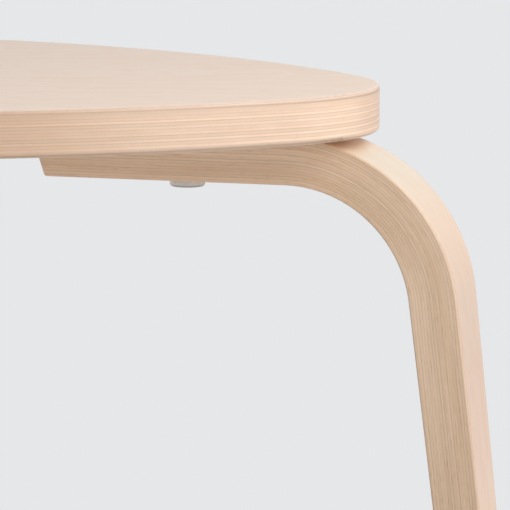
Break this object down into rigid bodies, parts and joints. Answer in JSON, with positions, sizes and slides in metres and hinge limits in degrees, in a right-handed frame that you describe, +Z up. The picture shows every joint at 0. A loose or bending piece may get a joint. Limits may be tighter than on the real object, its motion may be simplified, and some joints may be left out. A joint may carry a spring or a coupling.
{
  "type": "stacking stool",
  "caption": "Stacking stool: a flat plywood seat with a bulged triangular outline on splayed, bent and tapered laminated wooden legs.",
  "frame": {"origin": "on the floor, under the middle of the seat", "axes": "+Z up, the axis of the seat's threefold symmetry; +X towards leg 1, legs 2 and 3 follow counter-clockwise seen from above"},
  "size_m": [0.4203, 0.4806, 0.45],
  "materials": {
    "seat_birch": "clear lacquered birch veneer, satin",
    "leg_birch": "clear lacquered laminated birch, satin",
    "screw_steel": "zinc plated",
    "insert_brass": "plain",
    "bumper_plastic": "soft translucent plastic",
    "glide_plastic": "matte",
    "pin_steel": "plain"
  },
  "bodies": {
    "root": {"seat": "seat_birch", "leg_1": "leg_birch", "leg_1_screw_inner": "screw_steel", "leg_1_insert_inner": "insert_brass", "leg_1_screw_left": "screw_steel", "leg_1_insert_left": "insert_brass", "leg_1_screw_right": "screw_steel", "leg_1_insert_right": "insert_brass", "stacking_bumper_1": "bumper_plastic", "foot_glide_1": "glide_plastic", "glide_pin_1": "pin_steel", "leg_2": "leg_birch", "leg_2_screw_inner": "screw_steel", "leg_2_insert_inner": "insert_brass", "leg_2_screw_left": "screw_steel", "leg_2_insert_left": "insert_brass", "leg_2_screw_right": "screw_steel", "leg_2_insert_right": "insert_brass", "stacking_bumper_2": "bumper_plastic", "foot_glide_2": "glide_plastic", "glide_pin_2": "pin_steel", "leg_3": "leg_birch", "leg_3_screw_inner": "screw_steel", "leg_3_insert_inner": "insert_brass", "leg_3_screw_left": "screw_steel", "leg_3_insert_left": "insert_brass", "leg_3_screw_right": "screw_steel", "leg_3_insert_right": "insert_brass", "stacking_bumper_3": "bumper_plastic", "foot_glide_3": "glide_plastic", "glide_pin_3": "pin_steel"}
  },
  "joints": []
}
